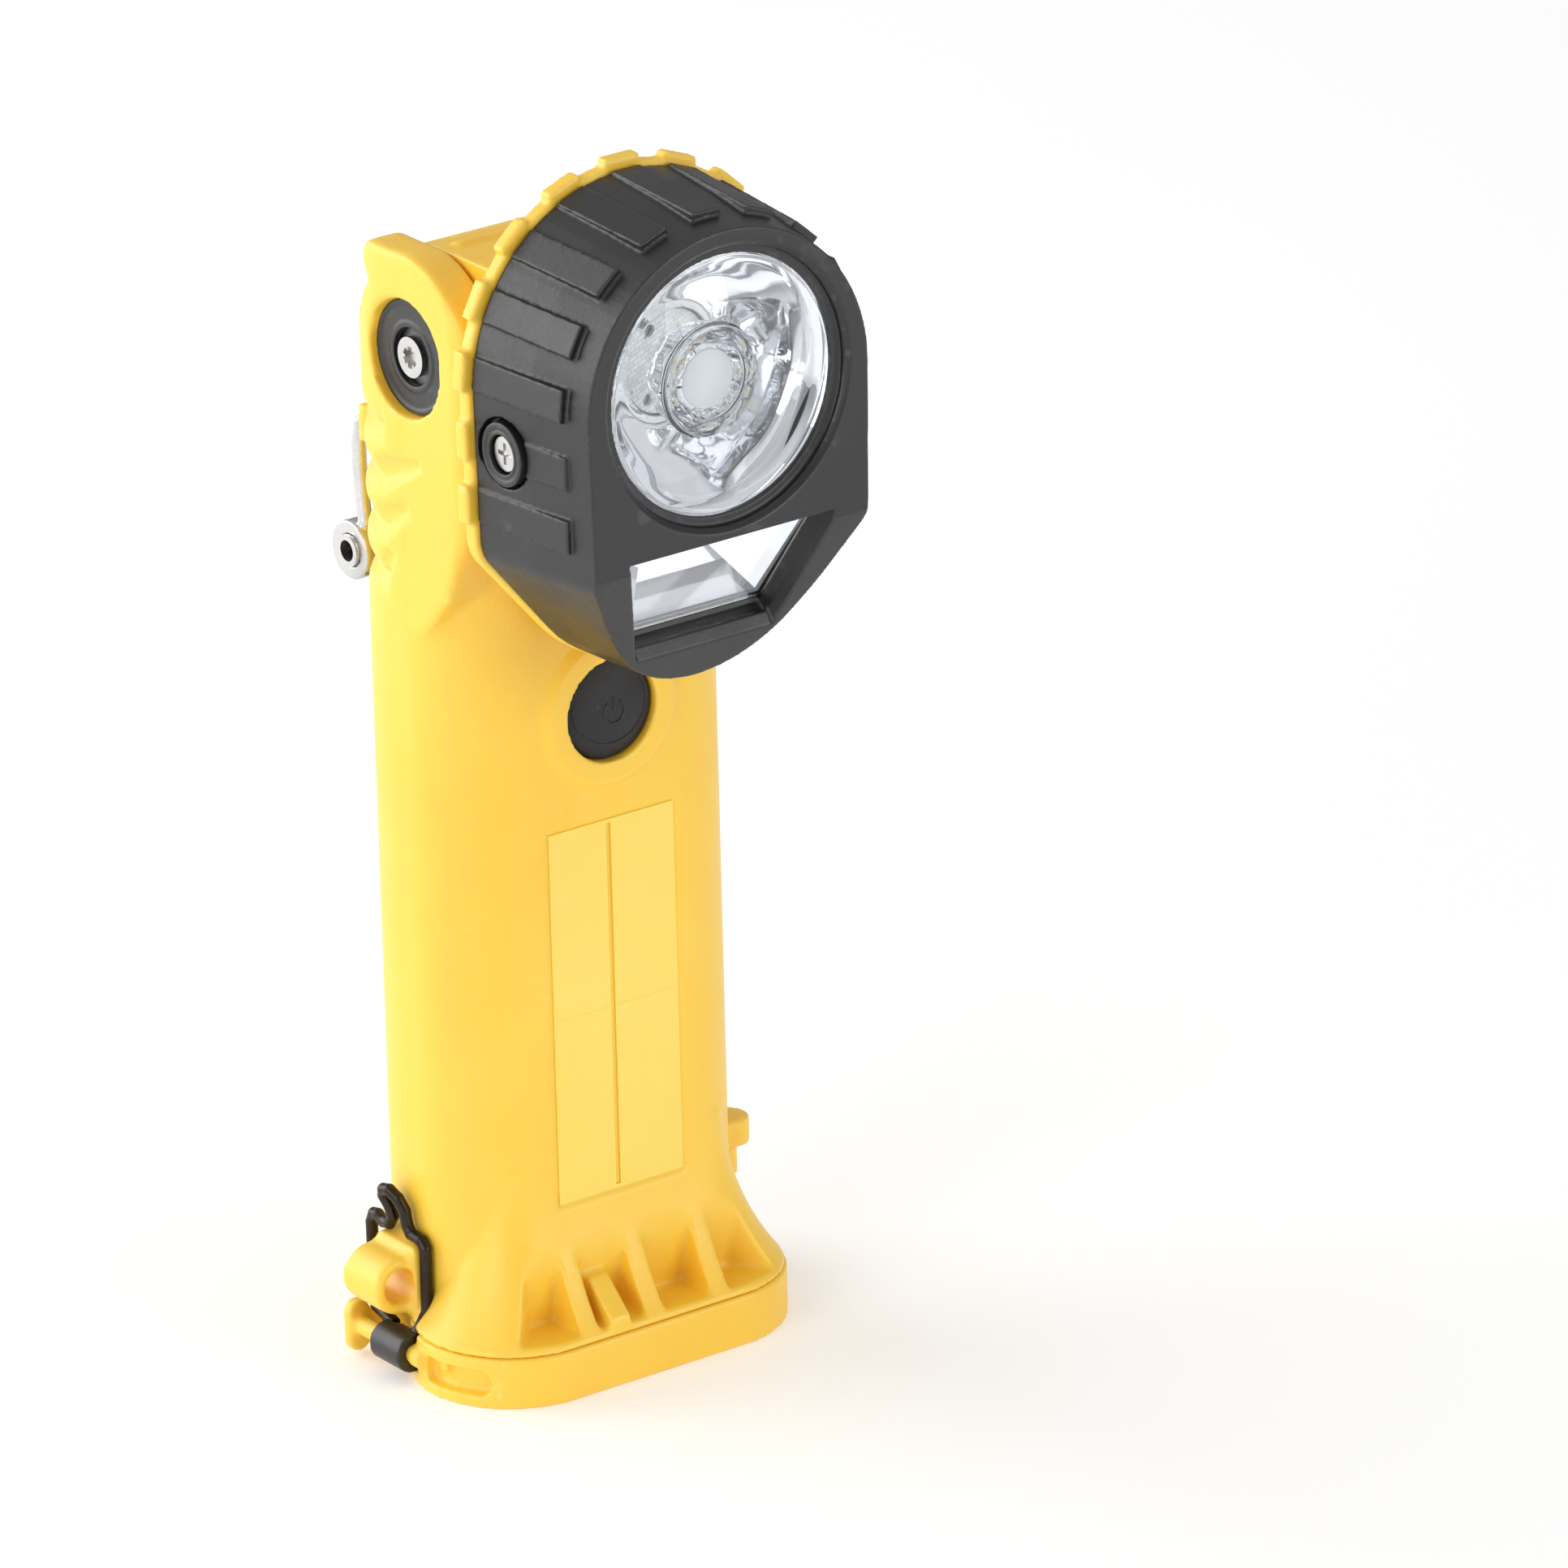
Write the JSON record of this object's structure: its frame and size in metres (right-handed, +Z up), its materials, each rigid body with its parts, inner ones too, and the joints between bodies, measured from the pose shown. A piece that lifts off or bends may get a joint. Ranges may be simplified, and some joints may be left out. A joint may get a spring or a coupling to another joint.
{
  "type": "right angle flashlight",
  "caption": "Right-angle firefighter flashlight with a pivoting head, main lamp and chin lamp, push button, belt clip, wire-latched tail door and a battery carrier inside.",
  "frame": {"origin": "on the base plane, at the axis of the battery cavity", "axes": "+Z up the grip, -Y the way the lamp faces, +X across, to the side of the tail door's hinge"},
  "size_m": [0.0725, 0.0781, 0.1987],
  "materials": {
    "yellow_plastic": "pebbled moulded nylon",
    "black_plastic": "fine satin moulded finish",
    "carrier_plastic": "smooth moulded",
    "black_rubber": "soft satin",
    "satin_steel": "satin",
    "dark_wire": "black oxide",
    "clear_lens": "polished clear",
    "mirror_coat": "vapour metallised",
    "led_white": "phosphor dome",
    "board_white": "white solder mask",
    "board_green": "green solder mask",
    "chip_black": "epoxy",
    "alu": "machined",
    "gold_contact": "plated",
    "nickel": "nickel plate",
    "cell_can": "silver white print",
    "cell_jacket": "dark brown print"
  },
  "bodies": {
    "body": {"body_shell": "yellow_plastic", "label_plate": "yellow_plastic", "switch": "chip_black", "control_board": "board_green", "board_parts": "chip_black", "bay_contacts": "gold_contact", "clip_bracket": "satin_steel", "clip_pin": "satin_steel", "clip_spring": "satin_steel"},
    "door": {"tail_door": "yellow_plastic", "door_gasket": "black_rubber", "door_hinge_pin": "satin_steel"},
    "latch": {"latch_sleeve": "black_rubber", "latch_bail": "dark_wire"},
    "button": {"button_boot": "black_rubber"},
    "head": {"head_housing": "yellow_plastic", "bezel": "black_plastic", "lens": "clear_lens", "lens_seal": "black_rubber", "reflector": "mirror_coat", "optic": "clear_lens", "led_board": "board_white", "led": "led_white", "heat_sink": "alu", "chin_reflector": "mirror_coat", "chin_window": "clear_lens", "chin_led": "led_white", "bezel_screws": "satin_steel", "screw_bushes": "black_plastic", "pivot_axles": "black_plastic", "pivot_caps": "black_plastic", "pivot_screws": "satin_steel", "pivot_seals": "black_rubber"},
    "carrier": {"carrier_frame": "carrier_plastic", "cells": "cell_can", "cell_jackets": "cell_jacket", "cell_buttons": "nickel", "carrier_contacts": "nickel", "carrier_springs": "nickel"},
    "clip": {"belt_clip": "satin_steel"}
  },
  "joints": [
    {"name": "head_pivot", "type": "hinge", "parent": "body", "child": "head", "pos_m": [0, -0.0055, 0.1675], "axis": [-1, 0, 0], "range_deg": [0, 90]},
    {"name": "button_press", "type": "slide", "parent": "body", "child": "button", "axis": [0, 1, 0], "range_m": [0, 0.0012], "stiffness_N_per_m": 1500},
    {"name": "clip_hinge", "type": "hinge", "parent": "body", "child": "clip", "pos_m": [0, 0.0224, 0.127], "axis": [1, 0, 0], "range_deg": [0, 20], "stiffness_Nm_per_rad": 0.4, "springref_deg": -5.73},
    {"name": "door_hinge", "type": "hinge", "parent": "body", "child": "door", "pos_m": [0.0336, 0.007, 0.0085], "axis": [0, -1, 0], "range_deg": [0, 100], "deforming": ["latch_bail"]},
    {"name": "latch_swing", "type": "hinge", "parent": "door", "child": "latch", "pos_m": [-0.032, 0.0007, 0.005], "axis": [0, -1, 0], "range_deg": [0, 110]},
    {"name": "carrier_slide", "type": "slide", "parent": "body", "child": "carrier", "axis": [0, 0, -1], "range_m": [0, 0.011]}
  ],
  "couplings": [
    {"joint": "carrier_slide", "follows": "door_hinge", "m_per_rad": 0.006}
  ]
}
